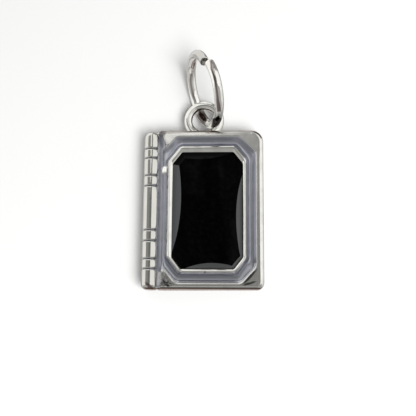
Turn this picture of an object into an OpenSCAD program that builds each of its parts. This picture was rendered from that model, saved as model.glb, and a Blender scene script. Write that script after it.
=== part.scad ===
// Book charm: a small cast silver book with a black onyx set in its front cover,
// hung by a soldered loop and an open jump ring. Millimetres.
// The origin is the middle of the flat back cover, on the surface the book lies on.
// +Z points out of the front cover, +Y towards the loop, and the spine is at -X.

/* [Book] */
// Width across the covers, spine included
book_w = 13.5; // [12:0.1:15]
// Height of the book
book_h = 18; // [16.5:0.1:20]
// Thickness from the back cover to the border of the front cover
book_t = 3.4; // [3:0.1:4.2]
// Rounding of the long edge opposite the spine
fore_edge_r = 0.46; // [0.2:0.02:0.7]
// Rounding of the top and bottom edges
end_edge_r = 0.4; // [0.2:0.02:0.7]
// Rounding of the outline's corners away from the spine
corner_r = 0.7; // [0.3:0.05:1]
// Rounding of the outline's corner at the top of the spine
spine_top_r = 0.82; // [0.4:0.02:1]
// Rounding of the outline's corner at the bottom of the spine
spine_foot_r = 0.45; // [0.3:0.05:0.8]

/* [Spine] */
// Width of the rolled spine
spine_w = 1.7; // [1.4:0.05:2]
// Width of each groove across the spine
band_groove_w = 0.17; // [0.1:0.01:0.25]
// Depth of each groove across the spine
band_groove_d = 0.15; // [0.08:0.01:0.25]
// Distance of the grooves from the middle of the spine, mirrored to both ends
band_groove_at = [2.5, 3.7, 5.7, 6.8];
// Width of the hinge groove beside the spine
hinge_w = 0.55; // [0.4:0.05:0.8]
// Depth of the hinge groove
hinge_d = 0.5; // [0.2:0.05:0.7]
// How far the thin ridge between the hinge groove and the panel lies below the cover
ridge_drop = 0.3; // [0.1:0.05:0.45]
// Length of that low ridge
ridge_h = 11.8; // [10:0.2:12.4]

/* [Sunk panel] */
// Middle of the panel and of the bezel, across
panel_x = 0.88; // [0.7:0.02:1]
// Middle of the panel, along
panel_y = -0.11; // [-0.3:0.01:0.2]
// Width of the panel at the cover's surface
panel_w = 10.34; // [9.8:0.02:10.6]
// Height of the panel at the cover's surface
panel_h = 16.48; // [15.8:0.02:16.8]
// Length cut off the panel's corners
panel_cut = 1.85; // [1.2:0.05:2.2]
// Depth of the panel below the cover's surface
panel_d = 0.55; // [0.3:0.05:0.9]
// How far the panel's wall leans in, from the surface to the floor
panel_wall = 0.22; // [0.1:0.02:0.4]

/* [Bezel] */
// Middle of the bezel's foot, across and along
bezel_at = [0.58, -0.06];
// Width and height of the bezel's foot
bezel_size = [9.34, 14.78];
// Corners cut off the bezel's foot, across and along
bezel_cut = [1.42, 1.74];
// Height of the bezel's crest above the cover's surface
bezel_rise = 0.2; // [0.1:0.05:0.5]
// How far the bezel's outside leans in, from its foot to its crest
bezel_lean = 0.42; // [0.1:0.02:0.5]
// How far the bezel's inside leans in, from its crest to the stone's edge
lip_lean = 0.24; // [0.1:0.02:0.3]
// Depth of the stone's edge below the crest
lip_d = 0.63; // [0.3:0.01:0.8]

/* [Stone] */
// Middle of the stone, across and along
stone_at = [0.53, -0.19];
// Width and height of the stone
stone_size = [7.94, 13.26];
// Corners cut off the stone, across and along
stone_cut = [1.06, 1.35];
// Height of the stone's upright wall
stone_wall = 1.05; // [0.8:0.05:1.4]
// Slope of the eight bevel facets
bevel_angle = 30; // [20:1:40]
// Radius of the crowned table across the stone
crown_r_across = 18; // [12:1:40]
// Radius of the crowned table along the stone
crown_r_along = 43; // [30:1:90]
// Height of the crown above the stone's wall
crown_rise = 0.8; // [0.6:0.02:1.1]
// How far the top of the crown lies towards the spine from the stone's middle
crown_shift = 0.28; // [0:0.02:0.4]
// Gap between the stone and its seat, all round
seat_gap = 0.04; // [0.02:0.01:0.1]

/* [Loop] */
// Radius of the loop, to the middle of its wire
loop_r = 1.84; // [1.6:0.02:2.2]
// Radius of the loop's wire
loop_wire_r = 0.47; // [0.35:0.01:0.6]
// Distance of the loop's middle above the top edge of the book
loop_out = 1.5; // [1.2:0.05:1.9]
// Height of the loop's middle above the back cover
loop_z = 1.75; // [1.2:0.05:2.2]

/* [Jump ring] */
// Radius of the jump ring, to the middle of its wire
ring_r = 3.95; // [3.6:0.05:4.4]
// Radius of the jump ring's wire
ring_wire_r = 0.52; // [0.4:0.01:0.56]
// Middle of the jump ring, across and along
ring_at = [0.19, 13.34];
// Lean of the ring from upright, resting through the loop
ring_lean = 17.1; // [10:0.1:30]
// Turn of the ring about the upright axis
ring_turn = 18; // [10:0.5:25]
// Clearance below the ring's lowest point
ring_lift = 0.02; // [0:0.01:0.1]
// Where the wire's two ends meet, from the top of the ring towards its far side
ring_cut_at = 28; // [20:1:80]
// Opening between the wire's two ends, degrees
ring_cut_gap = 9; // [1:0.5:12]
// Sideways tilt of each half of the ring, which leaves its ends out of line
ring_twist = 1.2; // [0:0.1:2]

/* [Hidden] */
$fn = 96;
crown_fn = 720;
crown_depth = 4;
long_arc = 200;
silver = [0.72, 0.71, 0.69];
ring_silver = [0.8, 0.8, 0.79];
onyx = [0.03, 0.03, 0.035];
over = 1;
spine_r = spine_w / 2;
spine_x = -book_w / 2 + spine_r;
hinge_x = -book_w / 2 + spine_w;
cover_x = hinge_x + hinge_w;
panel_floor_z = book_t - panel_d;
bezel_top_z = book_t + bezel_rise;
girdle_z = bezel_top_z - lip_d;
stone_foot_z = girdle_z - stone_wall;
crown_z = girdle_z + crown_rise;
ring_z = ring_lift + ring_wire_r + ring_r * cos(ring_lean);

// An eight-sided outline: a rectangle with its four corners cut off
function octagon(size, cut) = let (a = size[0] / 2, b = size[1] / 2) [
    [a, b - cut[1]], [a - cut[0], b], [cut[0] - a, b], [-a, b - cut[1]],
    [-a, cut[1] - b], [cut[0] - a, -b], [a - cut[0], -b], [a, cut[1] - b]
];

// The corner cuts of the outline that lies outside another, all its sides equally far
function wider_cut(cut, by) = let (slant = norm(cut), both = cut[0] + cut[1]) [
    cut[0] + by * (both - slant) / cut[1],
    cut[1] + by * (both - slant) / cut[0]
];

// A block whose outline shrinks by inset from its foot to its top, with flat sides
module tapered_octagon(size, cut, inset, height) {
    low = octagon(size, cut);
    high = octagon([size[0] - 2 * inset, size[1] - 2 * inset], wider_cut(cut, -inset));
    n = len(low);
    polyhedron(
        points = [
            for (p = low) [p[0], p[1], 0],
            for (p = high) [p[0], p[1], height]
        ],
        faces = [
            [for (i = [0:n - 1]) i],
            [for (i = [0:n - 1]) 2 * n - 1 - i],
            for (i = [0:n - 1]) [i, i + n, (i + 1) % n + n, (i + 1) % n]
        ]
    );
}

// What rounding takes off the corner of a square outline, at the corner's own place
module corner_waste(r) {
    difference() {
        translate([-over, -over]) square(r + over);
        translate([r, r]) circle(r = r);
    }
}

// A rectangle from its lower left corner, with a radius for each corner in turn:
// lower left, lower right, upper right, upper left
module rounded_rect(size, radii) {
    difference() {
        square(size);
        corner_waste(radii[0]);
        translate([size[0], 0]) mirror([1, 0]) corner_waste(radii[1]);
        translate([size[0], size[1]]) mirror([1, 0]) mirror([0, 1]) corner_waste(radii[2]);
        translate([0, size[1]]) mirror([0, 1]) corner_waste(radii[3]);
    }
}

// Everything inside the book's rounded outline and rounded ends
module book_envelope() {
    intersection() {
        translate([-book_w / 2, -book_h / 2, 0])
            linear_extrude(book_t)
                rounded_rect([book_w, book_h], [spine_foot_r, corner_r, corner_r, spine_top_r]);
        translate([-book_w, -book_h / 2, 0])
            rotate([90, 0, 90])
                linear_extrude(2 * book_w)
                    rounded_rect([book_h, book_t], [end_edge_r, end_edge_r, end_edge_r, end_edge_r]);
    }
}

// The covers and the pages between them, with a hinge groove in each cover
module covers() {
    right_x = book_w / 2;
    rotate([90, 0, 0])
        translate([spine_x, 0, -book_h / 2])
            linear_extrude(book_h)
                difference() {
                    rounded_rect([right_x - spine_x, book_t], [0.01, fore_edge_r, fore_edge_r, 0.01]);
                    for (z = [0, book_t])
                        translate([hinge_x - spine_x - spine_r, z - hinge_d])
                            square([hinge_w + spine_r, 2 * hinge_d]);
                }
}

// One length of the rolled spine, reduced all round by inset
module spine_roll(length, inset) {
    r = spine_r - inset;
    translate([spine_x, length / 2, 0])
        rotate([90, 0, 0])
            linear_extrude(length) {
                translate([0, spine_r]) circle(r = r);
                translate([0, book_t - spine_r]) circle(r = r);
                translate([-r, spine_r]) square([2 * r, book_t - 2 * spine_r]);
            }
}

// The spine: a core that shows in the grooves, and the full roll between them
module spine() {
    ends = concat([0], band_groove_at, [book_h / 2 + band_groove_w / 2]);
    spine_roll(book_h, band_groove_d);
    spine_roll(2 * band_groove_at[0] - band_groove_w, 0);
    for (i = [1:len(band_groove_at)])
        for (side = [-1, 1])
            translate([0, side * (ends[i] + ends[i + 1]) / 2, 0])
                spine_roll(ends[i + 1] - ends[i] - band_groove_w, 0);
}

module panel_cut_out() {
    translate([panel_x, panel_y, book_t + over])
        mirror([0, 0, 1])
            tapered_octagon(
                [panel_w + 2 * panel_wall * over / panel_d, panel_h + 2 * panel_wall * over / panel_d],
                [panel_cut, panel_cut],
                panel_wall * (panel_d + over) / panel_d,
                panel_d + over
            );
}

// What lowers the thin ridge between the hinge groove and the panel
module ridge_cut_out() {
    panel_left = panel_x - panel_w / 2;
    translate([hinge_x, -ridge_h / 2, book_t - ridge_drop])
        cube([panel_left + 2 * panel_wall - hinge_x, ridge_h, book_t]);
}

module bezel() {
    translate([bezel_at[0], bezel_at[1], panel_floor_z - 0.1])
        tapered_octagon(bezel_size, bezel_cut, bezel_lean, bezel_top_z - panel_floor_z + 0.1);
}

// The stone's pocket, and the lip that opens out above the stone's edge
module stone_seat() {
    pocket = [stone_size[0] + 2 * seat_gap, stone_size[1] + 2 * seat_gap];
    lip_h = lip_d * (lip_lean + over) / lip_lean;
    translate([stone_at[0], stone_at[1], 0]) {
        translate([0, 0, stone_foot_z - seat_gap])
            linear_extrude(stone_wall + 2 * seat_gap)
                polygon(octagon(pocket, stone_cut));
        translate([0, 0, girdle_z + lip_h])
            mirror([0, 0, 1])
                tapered_octagon(
                    [pocket[0] + 2 * (lip_lean + over), pocket[1] + 2 * (lip_lean + over)],
                    wider_cut(stone_cut, lip_lean + over),
                    lip_lean + over,
                    lip_h
                );
    }
}

module loop() {
    translate([0, book_h / 2 + loop_out, loop_z])
        rotate_extrude()
            translate([loop_r, 0]) circle(r = loop_wire_r);
}

module silver_book() {
    color(silver)
        difference() {
            union() {
                difference() {
                    intersection() {
                        union() {
                            covers();
                            spine();
                        }
                        book_envelope();
                    }
                    panel_cut_out();
                    ridge_cut_out();
                }
                bezel();
                loop();
            }
            stone_seat();
        }
}

// Everything under the crowned table, which is a patch of a large ring's outside
module under_crown() {
    half_angle = 12;
    translate([-crown_shift, 0, crown_z - crown_r_along])
        rotate([0, -90, 0])
            rotate([0, 0, -half_angle])
                rotate_extrude(angle = 2 * half_angle, $fn = crown_fn)
                    intersection() {
                        translate([crown_r_along - crown_r_across, 0])
                            circle(r = crown_r_across, $fn = crown_fn);
                        translate([crown_r_along - crown_depth, -stone_size[0]])
                            square([crown_depth + over, 2 * stone_size[0]]);
                    }
}

module onyx_stone() {
    bevel_inset = crown_rise / tan(bevel_angle);
    color(onyx)
        translate([stone_at[0], stone_at[1], 0])
            intersection() {
                union() {
                    translate([0, 0, stone_foot_z])
                        linear_extrude(stone_wall)
                            polygon(octagon(stone_size, stone_cut));
                    translate([0, 0, girdle_z])
                        tapered_octagon(stone_size, stone_cut, bevel_inset, crown_rise);
                }
                under_crown();
            }
}

// A stretch of the jump ring's wire
module ring_arc(start, sweep) {
    rotate([0, 0, start])
        rotate_extrude(angle = sweep)
            translate([ring_r, 0]) circle(r = ring_wire_r);
}

// Two arcs that meet on the far side from the cut. Each tilts about the wire's
// direction there, so the wire runs on smoothly and its free ends miss each other.
module jump_ring() {
    joint = 180;
    short_arc = 360 - long_arc - ring_cut_gap;
    cut_middle = joint - long_arc - ring_cut_gap / 2;
    color(ring_silver)
        translate([ring_at[0], ring_at[1], ring_z])
            rotate([0, 90 + ring_lean, ring_turn])
                rotate([0, 0, 180 - ring_cut_at - cut_middle])
                    translate([-ring_r, 0, 0]) {
                        rotate([0, -ring_twist, 0])
                            translate([ring_r, 0, 0]) ring_arc(joint - long_arc, long_arc);
                        rotate([0, ring_twist, 0])
                            translate([ring_r, 0, 0]) ring_arc(joint, short_arc);
                    }
}

silver_book();
onyx_stone();
jump_ring();
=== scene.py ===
# %% [markdown]
# # A silver book charm with a black onyx
# This is a small cast silver charm in the shape of a closed book. A black onyx is set
# in its front cover, and a soldered loop carries an open jump ring. It lies on its back
# on pale card. The packed CAD model is loaded first, and every piece below takes the
# place of one of its solids. Sizes are written in millimetres, as a jeweller would, and
# each piece is turned into metres once, when it is finished.

# %% Load the frame
import math

import bmesh
import bpy
from mathutils import Matrix, Vector


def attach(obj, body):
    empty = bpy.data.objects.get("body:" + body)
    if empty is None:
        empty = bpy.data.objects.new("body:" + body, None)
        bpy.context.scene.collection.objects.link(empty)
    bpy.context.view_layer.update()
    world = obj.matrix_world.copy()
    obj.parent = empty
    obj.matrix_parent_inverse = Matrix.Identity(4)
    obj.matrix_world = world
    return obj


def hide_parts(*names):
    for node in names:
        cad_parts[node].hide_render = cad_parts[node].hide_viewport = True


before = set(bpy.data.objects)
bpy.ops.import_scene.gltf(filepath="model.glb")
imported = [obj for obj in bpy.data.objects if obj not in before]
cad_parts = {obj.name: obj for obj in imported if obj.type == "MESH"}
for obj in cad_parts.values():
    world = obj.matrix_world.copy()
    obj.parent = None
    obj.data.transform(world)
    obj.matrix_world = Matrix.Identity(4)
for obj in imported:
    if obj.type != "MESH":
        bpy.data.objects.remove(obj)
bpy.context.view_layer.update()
MM = 0.001
print("solids:", sorted(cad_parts))

# %% [markdown]
# ## The camera
# The photo is taken from above with a long lens, leaning about eleven degrees towards
# the foot of the book. A camera could be turned by hand until the view fits. Here its
# three axes are worked out from the lean, the sideways tilt and the roll, in radians,
# so that each can be trimmed on its own. It looks at a point in the middle of the front
# cover, and is placed first so that every render can be laid beside the photo.

# %% Place the camera
LOOK_AT = Vector((0.0, 0.0, 3.34))
LEAN, SIDEWAYS, ROLL = 0.1872, 0.0432, 0.0069
DISTANCE, ACROSS, UPWARDS = 73.77, -0.583, 0.081
SENSOR_WIDTH, FOCAL_LENGTH = 36, 57.63

back = Vector(
    (
        math.sin(SIDEWAYS),
        -math.sin(LEAN) * math.cos(SIDEWAYS),
        math.cos(LEAN) * math.cos(SIDEWAYS),
    )
)
level_up = (Vector((0, 1, 0)) - back * back.y).normalized()
level_right = level_up.cross(back)
right = math.cos(ROLL) * level_right + math.sin(ROLL) * level_up
up = math.cos(ROLL) * level_up - math.sin(ROLL) * level_right
eye = LOOK_AT + DISTANCE * back - ACROSS * right - UPWARDS * up

lens = bpy.data.cameras.new("photo_camera")
lens.sensor_width = SENSOR_WIDTH
lens.lens = FOCAL_LENGTH
lens.clip_start, lens.clip_end = 0.001, 10
camera = bpy.data.objects.new("photo_camera", lens)
turn = Matrix((right, up, back)).transposed().to_4x4()
camera.matrix_world = Matrix.Translation(eye * MM) @ turn
bpy.context.scene.collection.objects.link(camera)
bpy.context.scene.camera = camera
print("camera at", [round(c, 1) for c in eye], "mm")

# %% [markdown]
# ## Shader maths in plain Python
# A finish is a small graph of nodes. They could be wired by hand in the editor, but
# sums are easier to read on paper. So one class wraps the output of a node and knows
# its sums, products and powers. All other nodes come from one method, which sets a
# node's own choices first and then its sockets.


# %% A node's output that knows its sums
class Amount:
    """A node's output, ready for sums with numbers and other outputs."""

    def __init__(self, graph, socket):
        self.graph = graph
        self.socket = socket

    def _sum(self, operation, *values):
        return self.graph.node("ShaderNodeMath", {"operation": operation}, dict(enumerate(values)))

    def __add__(self, other):
        return self._sum("ADD", self, other)

    def __radd__(self, other):
        return self._sum("ADD", other, self)

    def __sub__(self, other):
        return self._sum("SUBTRACT", self, other)

    def __rsub__(self, other):
        return self._sum("SUBTRACT", other, self)

    def __mul__(self, other):
        return self._sum("MULTIPLY", self, other)

    def __rmul__(self, other):
        return self._sum("MULTIPLY", other, self)

    def __pow__(self, power):
        return self._sum("POWER", self, power)

    def __abs__(self):
        return self._sum("ABSOLUTE", self)

    def least(self, other):
        return self._sum("MINIMUM", self, other)

    def most(self, other):
        return self._sum("MAXIMUM", self, other)


print("made:", Amount.__doc__)


# %% A graph of nodes, for a finish or for the sky
class Graph:
    """A node tree, and the one method that adds nodes to it."""

    def __init__(self, tree):
        self.tree = tree
        self.tree.nodes.clear()

    def node(self, kind, settings=None, sockets=None, out=0):
        node = self.tree.nodes.new(kind)
        for key, value in (settings or {}).items():
            setattr(node, key, value)
        for key, value in (sockets or {}).items():
            if isinstance(value, Amount):
                self.tree.links.new(value.socket, node.inputs[key])
            else:
                node.inputs[key].default_value = value
        return Amount(self, node.outputs[out]) if node.outputs else node

    def ease(self, value, start, end):
        """0 before start and 1 past end, with a soft step between."""
        return self.node(
            "ShaderNodeMapRange",
            {"interpolation_type": "SMOOTHSTEP"},
            {"Value": value, "From Min": start, "From Max": end},
        )

    def strip(self, value, start, full, fading, end):
        """1 between full and fading, and 0 before start and past end."""
        return self.ease(value, start, full) * self.ease(value, end, fading)

    def within(self, *edges):
        """1 inside soft edges, each as (value, where it is 0, where it is full)."""
        return math.prod(self.ease(*edge) for edge in edges)

    def blend(self, share, first, second):
        """The first colour where share is 0, the second where it is 1."""
        return self.node(
            "ShaderNodeMix", {"data_type": "RGBA"}, {"Factor": share, 6: first, 7: second}, out=2
        )

    def apart(self, vector):
        """x, y and z of a vector, each on its own."""
        split = self.node("ShaderNodeSeparateXYZ", None, {"Vector": vector})
        return [Amount(self, output) for output in split.socket.node.outputs]


print("made:", Graph.__doc__)


# %% A finish for metal or stone
class Finish(Graph):
    """A material on Object coordinates in millimetres."""

    def __init__(self, name):
        self.material = bpy.data.materials.new(name)
        self.material.use_nodes = True
        super().__init__(self.material.node_tree)
        metres = self.node("ShaderNodeTexCoord", out="Object")
        self.place = self.node(
            "ShaderNodeMapping", None, {"Vector": metres, "Scale": (1 / MM, 1 / MM, 1 / MM)}
        )

    def mark(self, name):
        """A number that the mesh carries at each of its points."""
        return self.node("ShaderNodeAttribute", {"attribute_name": name}, out="Fac")

    def facing(self):
        """x, y and z of the way that the surface faces."""
        return self.apart(self.node("ShaderNodeNewGeometry", out="Normal"))

    def clouds(self, scale, detail, stretch=(1, 1, 1), shift=(0, 0, 0)):
        """Soft noise from 0 to 1, with scale in lumps per millimetre."""
        place = self.node(
            "ShaderNodeMapping", None, {"Vector": self.place, "Scale": stretch, "Location": shift}
        )
        sockets = {"Vector": place, "Scale": scale, "Detail": detail}
        return self.node("ShaderNodeTexNoise", None, sockets)

    def spot(self, x, y, wide, tall, turn=0):
        """1 inside an oval with a ragged edge, with its half sizes in millimetres."""
        raggedness = 0.16
        ragged = self.node(
            "ShaderNodeTexNoise", None, {"Vector": self.place, "Scale": 4.0}, out="Color"
        )
        wander = self.node(
            "ShaderNodeVectorMath", {"operation": "SCALE"}, {0: ragged, "Scale": raggedness}
        )
        place = self.node(
            "ShaderNodeVectorMath", {"operation": "ADD"}, {0: self.place, 1: wander}
        )
        local = self.node(
            "ShaderNodeMapping",
            {"vector_type": "TEXTURE"},
            {
                "Vector": place,
                "Location": (x + raggedness / 2, y + raggedness / 2, 0),
                "Rotation": (0, 0, math.radians(turn)),
                "Scale": (wide, tall, 1000),
            },
        )
        away = self.node("ShaderNodeVectorMath", {"operation": "LENGTH"}, {0: local}, out="Value")
        return self.ease(away, 1.3, 0.7)

    def bump(self, height, depth, under=None):
        """Relief of the given depth in millimetres, on top of any relief under it."""
        sockets = {"Height": height, "Distance": depth * MM}
        if under is not None:
            sockets["Normal"] = under
        return self.node("ShaderNodeBump", None, sockets)

    def surface(self, **sockets):
        """The shader that closes the graph."""
        names = {"specular": "Specular IOR Level", "coat_ior": "Coat IOR"}
        values = {names.get(k, k.replace("_", " ").title()): v for k, v in sockets.items()}
        shader = self.node("ShaderNodeBsdfPrincipled", None, values)
        self.node("ShaderNodeOutputMaterial", None, {"Surface": shader})
        return self.material


print("made:", Finish.__doc__)

# %% [markdown]
# ## The silver of the book
# The book is cast and then dipped in a bath that darkens it. Polishing brings the high
# parts back to a warm grey shine and leaves a blue-grey film in every hollow. So the
# finish needs to know where the hollows are. Height alone doesn't tell it: the panel's
# wall has a film, and the bezel at the same height has none. So the meshes carry it:
# "film" is set on every outline of the relief, a second mark lays painted shade on the
# film near its bottom, and "hollow" is a thin dark groove. The hinge has no mark of its
# own and is found by its place. The spine is painted a darker silver, as painted shade.
# A soft edge is written as two places, where a film ends and where it is full, and a
# strip as four.

# %% Name the silver's colours and the book's places
BRIGHT_SILVER = (0.90, 0.89, 0.865, 1)
WORN_SILVER = (0.80, 0.79, 0.76, 1)
# A darker copy of the silver for the spine, as painted shade.
SHADED_SPINE_SILVER = (0.68, 0.67, 0.64, 1)
BLUE_FILM = (0.40, 0.42, 0.49, 1)
VIOLET_FILM = (0.50, 0.50, 0.58, 1)
# Dark grey for the film in grooves and for painted dark reflections.
DARK_FILM_AND_REFLECTION = (0.16, 0.15, 0.145, 1)
# Black for casting pits and for painted reflections of dents.
BLACK_PITS_AND_REFLECTION = (0.07, 0.07, 0.068, 1)
# Dark grey for painted shade in the film, and for grime in the rough lower left corner.
GRIME_AND_SHADE = (0.16, 0.165, 0.19, 1)
# Brown for painted reflections.
REFLECTION_BROWN = (0.2, 0.13, 0.11, 1)
# Brown for the painted dark reflection under the rim.
RIM_REFLECTION_BROWN = (0.12, 0.08, 0.07, 1)
PIT_BLACK = (0.05, 0.05, 0.045, 1)

FRONT = (2.0, 2.6)
LEFT_OF_FORE_EDGE, ABOVE_FOOT = (6.3, 6.1), (-8.9, -8.7)
HINGE, HINGE_LOW, HINGE_FOOT = (-5.1, -5.05, -4.17, -4.12), (3.37, 3.3), (-7.3, -6.9)
SPINE = (-4.9, -5.15)
FORE_EDGE, BEZEL, LOOP = (6.25, 6.35), (3.42, 3.5), (9.1, 9.3)
print("hinge: from", HINGE[0], "to", HINGE[-1], "mm")


# %% Find the film in the hollows
def film_on(silver, mottle):
    """How much film lies on each place of the book."""
    x, y, z = silver.apart(silver.place)
    inside = silver.within((x, *LEFT_OF_FORE_EDGE), (y, *ABOVE_FOOT), (z, *FRONT))
    hinge = silver.strip(x, *HINGE) * silver.ease(z, *HINGE_LOW)
    hinge = hinge * (0.5 + 0.5 * silver.ease(y, *HINGE_FOOT))
    low = silver.mark("film").most(hinge) * inside
    return low.most(silver.mark("hollow")) * (0.75 + 0.35 * mottle).least(1.0)


def metal_and_film(silver, film, mottle, polish):
    """The metal's two colours and the spine's darker silver of painted shade, with the colours of
    the film and its painted shade over them.
    """
    x = silver.apart(silver.place)[0]
    film_colour = silver.blend(silver.ease(mottle, 0.35, 0.65), BLUE_FILM, VIOLET_FILM)
    # Painted shade: the film is darker near the bottom of the relief, where shade falls.
    painted_shade = silver.mark("painted_shade") * silver.ease(x, -4.1, -3.95)
    film_colour = silver.blend(0.4 * painted_shade, film_colour, GRIME_AND_SHADE)
    bare = silver.blend(silver.ease(polish, 0.4, 0.7), BRIGHT_SILVER, WORN_SILVER)
    # Painted shade: the spine's silver is darker, broken up by mottle, so its reflections stay
    # dimmer.
    bare = silver.blend(silver.ease(x, *SPINE) * (0.6 + 0.4 * mottle), bare, SHADED_SPINE_SILVER)
    colour = silver.blend(film, bare, film_colour)
    return silver.blend(0.8 * silver.ease(silver.mark("hollow"), 0.5, 1.0), colour, DARK_FILM_AND_REFLECTION)


# %% [markdown]
# ## The marks on the silver
# The front has dark flecks in its corners. Some are casting pits and rough spots. Others
# are painted reflections: dark crescents of shallow dents at the lower right corner, a
# brown reflection of the ring at the head, a dark rim at the top right corner and a brown
# reflection at the foot of the spine. The hinge is darker at its head. The walls under
# the rim get a brown line of painted reflection. Noise alone would strew them all over.
# Each fleck is one oval with a ragged edge, so it can be moved or turned on its own.

# %% Lay the marks on the silver
# Each mark is its middle in x and y, half its length and width, its turn in degrees, how
# strongly it covers, and its colour.
DARK_MARKS = [
    # Painted reflections of shallow dents: two dark crescents at the lower right corner.
    (5.21, -7.68, 1.05, 0.12, 47, 0.9, BLACK_PITS_AND_REFLECTION),
    (5.15, -8.38, 0.7, 0.12, 17, 0.9, BLACK_PITS_AND_REFLECTION),
    # Painted brown reflection of the ring on the border at the head.
    (0.9, 8.62, 0.7, 0.13, 2, 0.6, REFLECTION_BROWN),
    (0.3, -7.2, 0.07, 0.14, -20, 0.8, DARK_FILM_AND_REFLECTION),
    (-4.2, -8.5, 0.5, 0.25, 0, 0.4, DARK_FILM_AND_REFLECTION),
    # The hinge is darker at its head.
    (-4.78, 7.9, 0.3, 1.0, 8, 0.5, GRIME_AND_SHADE),
    # Painted dark reflection along the rim of the top right corner.
    (5.95, 8.66, 0.85, 0.17, -24, 0.85, DARK_FILM_AND_REFLECTION),
    (5.09, -7.63, 1.15, 0.045, 47, 0.9, DARK_FILM_AND_REFLECTION),
    # The hinge is darker at its head.
    (-4.68, 8.55, 0.42, 0.35, 0, 0.7, DARK_FILM_AND_REFLECTION),
    # Painted brown reflection at the foot of the spine.
    (-5.72, -8.74, 0.6, 0.18, -42, 0.8, REFLECTION_BROWN),
    # Casting pits in the lower left corner, with one fleck of bare silver.
    (-4.0, -8.4, 0.5, 0.12, -52, 0.9, BLACK_PITS_AND_REFLECTION),
    (-3.75, -8.62, 0.3, 0.1, -20, 0.9, BLACK_PITS_AND_REFLECTION),
    (-3.93, -8.42, 0.1, 0.05, -50, 0.9, BRIGHT_SILVER),
]
MARKS_ABOVE = (2.5, 2.8)


def mark_front(silver, colour):
    """The colour with every mark of the list laid on it: pits, flecks and painted reflections."""
    on_front = silver.ease(silver.apart(silver.place)[2], *MARKS_ABOVE)
    for x, y, wide, tall, turn, strength, shade in DARK_MARKS:
        share = strength * silver.spot(x, y, wide, tall, turn) * on_front
        colour = silver.blend(share, colour, shade)
    return colour


def painted_rim_reflection(silver):
    """How much painted dark reflection lies on the walls just under the rim, at the head, the
    corner and the foot.
    """
    x, y, z = silver.apart(silver.place)
    head = silver.strip(y, 8.58, 8.66, 8.95, 9.0) * silver.strip(z, 2.9, 3.1, 3.37, 3.4)
    head = head * (1.0 - 0.3 * silver.ease(abs(x + 0.4), 1.2, 2.4))
    from_corner = ((x - 5.4).most(0.0) ** 2.0 + (y - 7.65).most(0.0) ** 2.0) ** 0.5
    corner = silver.within((from_corner, 0.98, 1.1), (x, 5.5, 5.8), (y, 7.7, 8.1))
    foot = silver.within((y, -8.8, -8.9), (z, 2.8, 3.05))
    return head.most(corner) + foot


def pit_corner(silver, colour):
    """The colour with the rough patch and the casting pits of the lower left corner."""
    coarse = silver.ease(silver.clouds(3.2, 3.0, shift=(5, 1, 0)), 0.42, 0.58)
    colour = silver.blend(0.45 * (silver.spot(-4.15, -8.0, 0.55, 0.9) * coarse), colour, GRIME_AND_SHADE)
    pits = silver.ease(silver.clouds(5.0, 2.0), 0.5, 0.55)
    return silver.blend(0.95 * (silver.spot(-3.58, -8.48, 0.42, 0.3) * pits), colour, PIT_BLACK)


print("marks on the front:", len(DARK_MARKS))


# %% Mix the silver of the book
def mix_cast_silver():
    silver = Finish("cast_silver")
    mottle = silver.clouds(1.1, 4.0)
    polish = silver.clouds(0.8, 2.0, shift=(7, 3, 0))
    film = film_on(silver, mottle)
    colour = mark_front(silver, metal_and_film(silver, film, mottle, polish))
    # Painted dark reflection along the walls under the rim.
    colour = silver.blend(0.9 * painted_rim_reflection(silver), colour, RIM_REFLECTION_BROWN)
    colour = pit_corner(silver, colour)
    relief = silver.bump(silver.clouds(0.75, 1.0, shift=(2, 9, 4)), 0.01)
    relief = silver.bump(silver.clouds(9.0, 4.0), 0.002, relief)
    x, y, z = silver.apart(silver.place)
    rubbed = silver.ease(x, *SPINE).most(silver.ease(x, *FORE_EDGE))
    rubbed = rubbed.most(silver.ease(z, *BEZEL)).most(silver.ease(y, *LOOP))
    roughness = (0.14 + 0.08 * polish + 0.14 * film - 0.1 * rubbed).most(0.07)
    return silver.surface(base_color=colour, metallic=1.0, roughness=roughness, normal=relief)


cast_silver = mix_cast_silver()
print("cast silver:", len(cast_silver.node_tree.nodes), "nodes")

# %% [markdown]
# ## The silver of the jump ring
# The jump ring is drawn wire, which is harder and brighter than the casting. Drawing
# leaves faint lines along the wire, and wear adds a few soft dents to its shine. A plain
# mirror finish shows dark streaks only where a real room stands around it. So two brown
# streaks of painted reflection are laid where the wire's side faces to the left or right,
# and they start and end along the ring. Where the ring runs through the loop, and beside
# it, the wire gets painted shade. The sawn ends are duller, and so is the far end of the
# cut.

# %% Mix the silver of the jump ring
BRIGHT_WIRE, HAZY_WIRE = (0.97, 0.96, 0.94, 1), (0.88, 0.865, 0.84, 1)
DULL_WIRE, SAWN_WIRE = (0.58, 0.565, 0.54, 1), (0.42, 0.4, 0.37, 1)
# Browns for the painted reflection streaks.
NEAR_REFLECTION_BROWN, FAR_REFLECTION_BROWN = (0.17, 0.1, 0.09, 1), (0.3, 0.22, 0.2, 1)
# Painted shade where the ring runs through the loop, and beside it.
SHADE_IN_LOOP_BROWN, SHADED_WIRE = (0.1, 0.07, 0.06, 1), (0.06, 0.05, 0.045, 1)


def painted_near_reflection(wire, along, side, z):
    """The painted reflection streak on the upper half of the ring. It wanders as it runs along."""
    x = wire.apart(wire.place)[0]
    middle = -0.25 + 0.3 * wire.ease(along, 12.5, 11.0) + 0.4 * wire.ease(along, 15.6, 16.8)
    middle = middle + 0.45 * wire.within((x, 0.3, -0.3), (along, 15.4, 16.6))
    half_width = 0.2 + 0.2 * wire.ease(along, 13.0, 11.5)
    streak = wire.within((abs(side - middle) - half_width, 0.08, -0.08), (z, 4.4, 5.0))
    return streak * wire.strip(along, 11.1, 11.3, 16.6, 17.0)


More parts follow.
